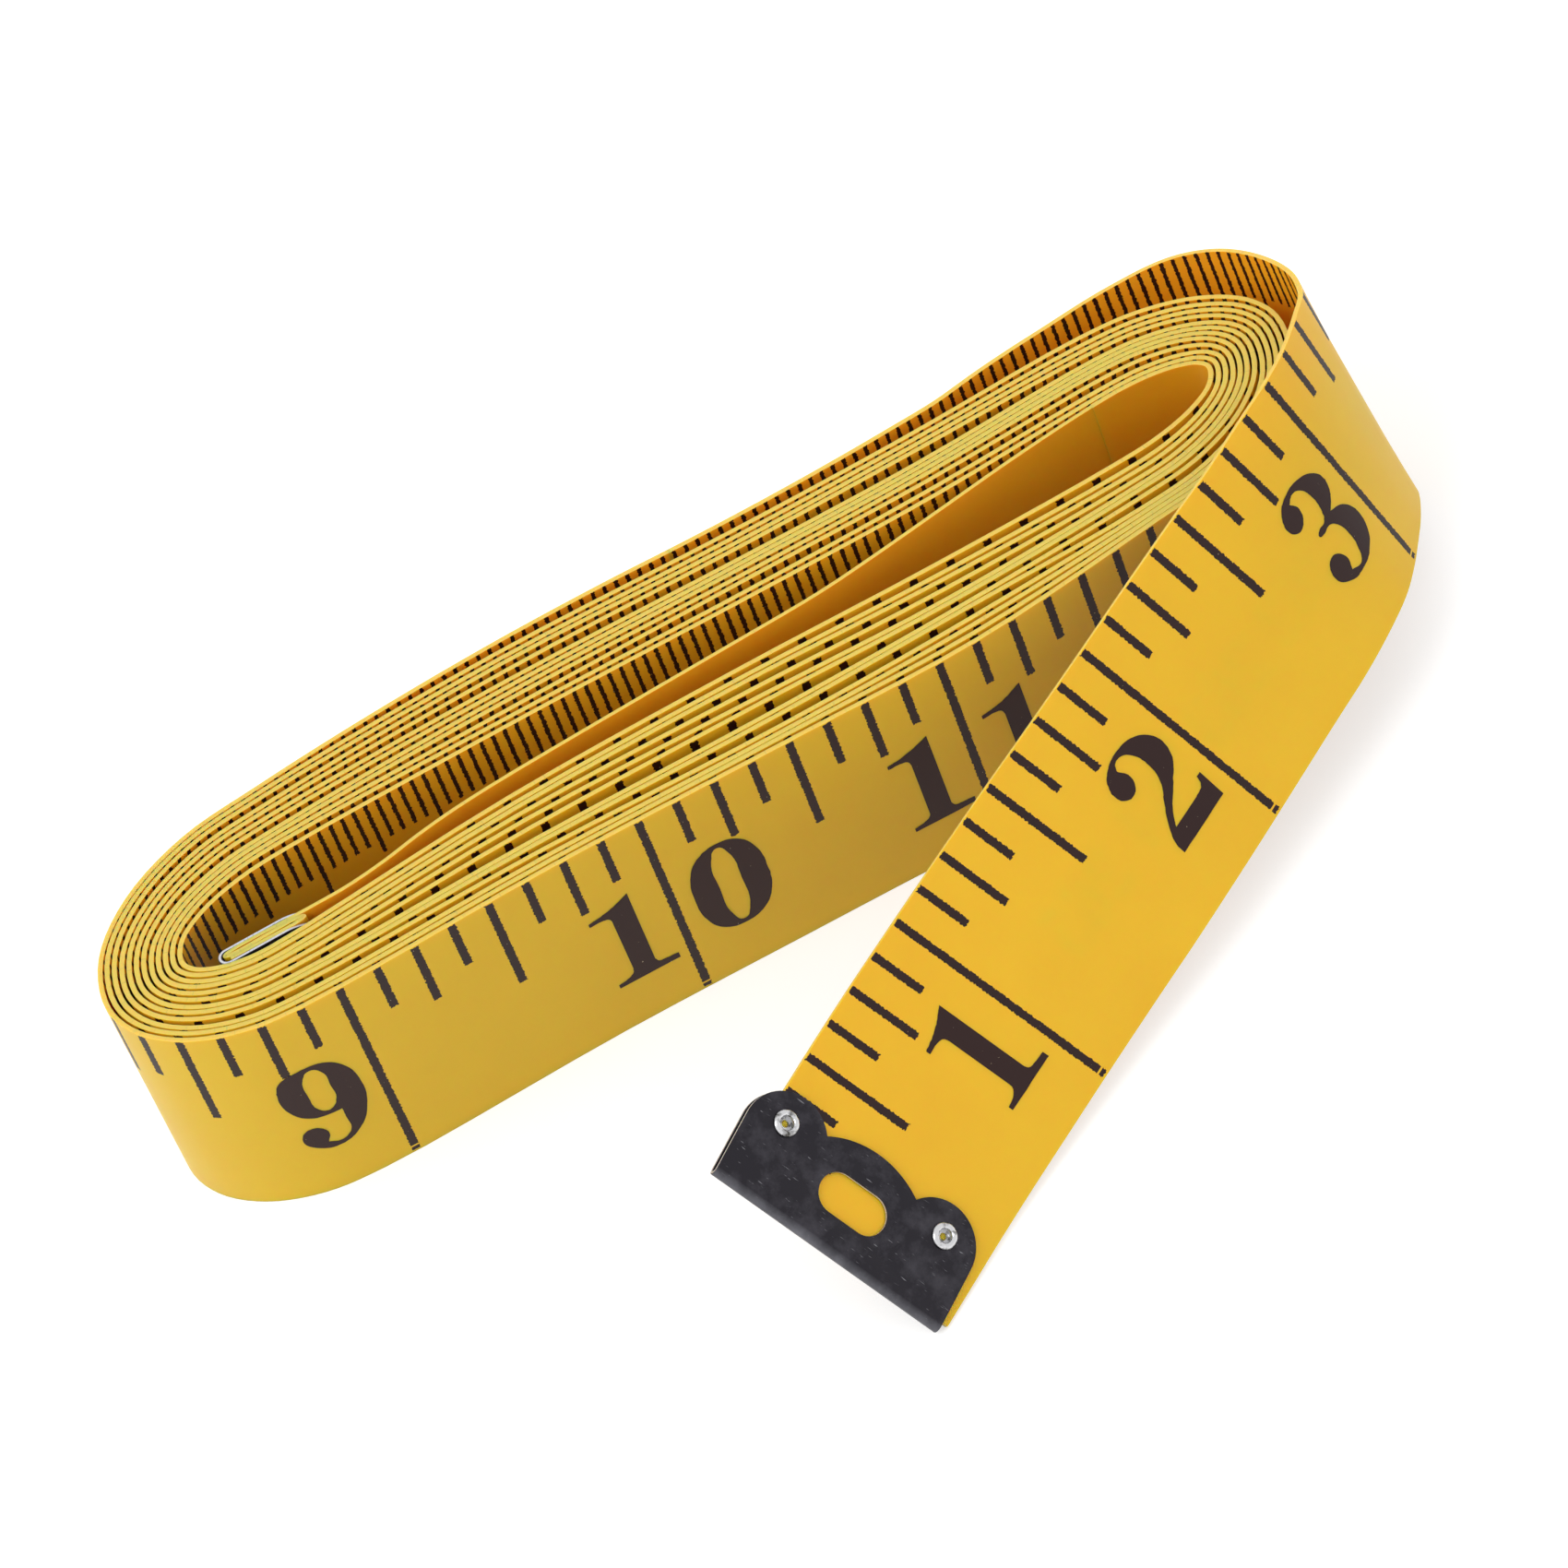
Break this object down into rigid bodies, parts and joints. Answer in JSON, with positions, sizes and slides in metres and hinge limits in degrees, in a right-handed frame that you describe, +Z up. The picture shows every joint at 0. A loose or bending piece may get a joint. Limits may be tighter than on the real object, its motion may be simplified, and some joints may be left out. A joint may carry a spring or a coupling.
{
  "type": "tape measure",
  "caption": "Flexible coated-cloth measuring tape stood on its edge in a loose flat coil, with its free end run out in front and a folded metal clip riveted to each end.",
  "frame": {"origin": "middle of the footprint's bounding box, on the surface that the tape stands on", "axes": "+X along the coil toward the end where the free end leaves it, +Y toward the coil's back and away from the free end, +Z up"},
  "size_m": [0.1068, 0.0666, 0.0242],
  "materials": {
    "tape": "soft vinyl coating over woven cloth, satin, printed with dark scale marks",
    "clip": "darkened and scratched sheet steel",
    "eyelet": "bright rolled metal"
  },
  "bodies": {
    "coil": {"tape_winding": "tape"},
    "free_end": {"tape_free_end": "tape", "clip_outer": "clip", "eyelet_outer_1": "eyelet", "eyelet_outer_2": "eyelet"},
    "inner_end": {"tape_inner_end": "tape", "clip_inner": "clip", "eyelet_inner_1": "eyelet", "eyelet_inner_2": "eyelet"}
  },
  "joints": [
    {"name": "free_end_swing", "type": "hinge", "parent": "coil", "child": "free_end", "pos_m": [0.04977, 0.02566, 0.0114], "axis": [0.064, 0.2828, 0.957], "range_deg": [0, 60]},
    {"name": "inner_end_swing", "type": "hinge", "parent": "coil", "child": "inner_end", "pos_m": [0.03361, 0.02199, 0.01], "axis": [0, 0, -1], "range_deg": [0, 2]}
  ]
}
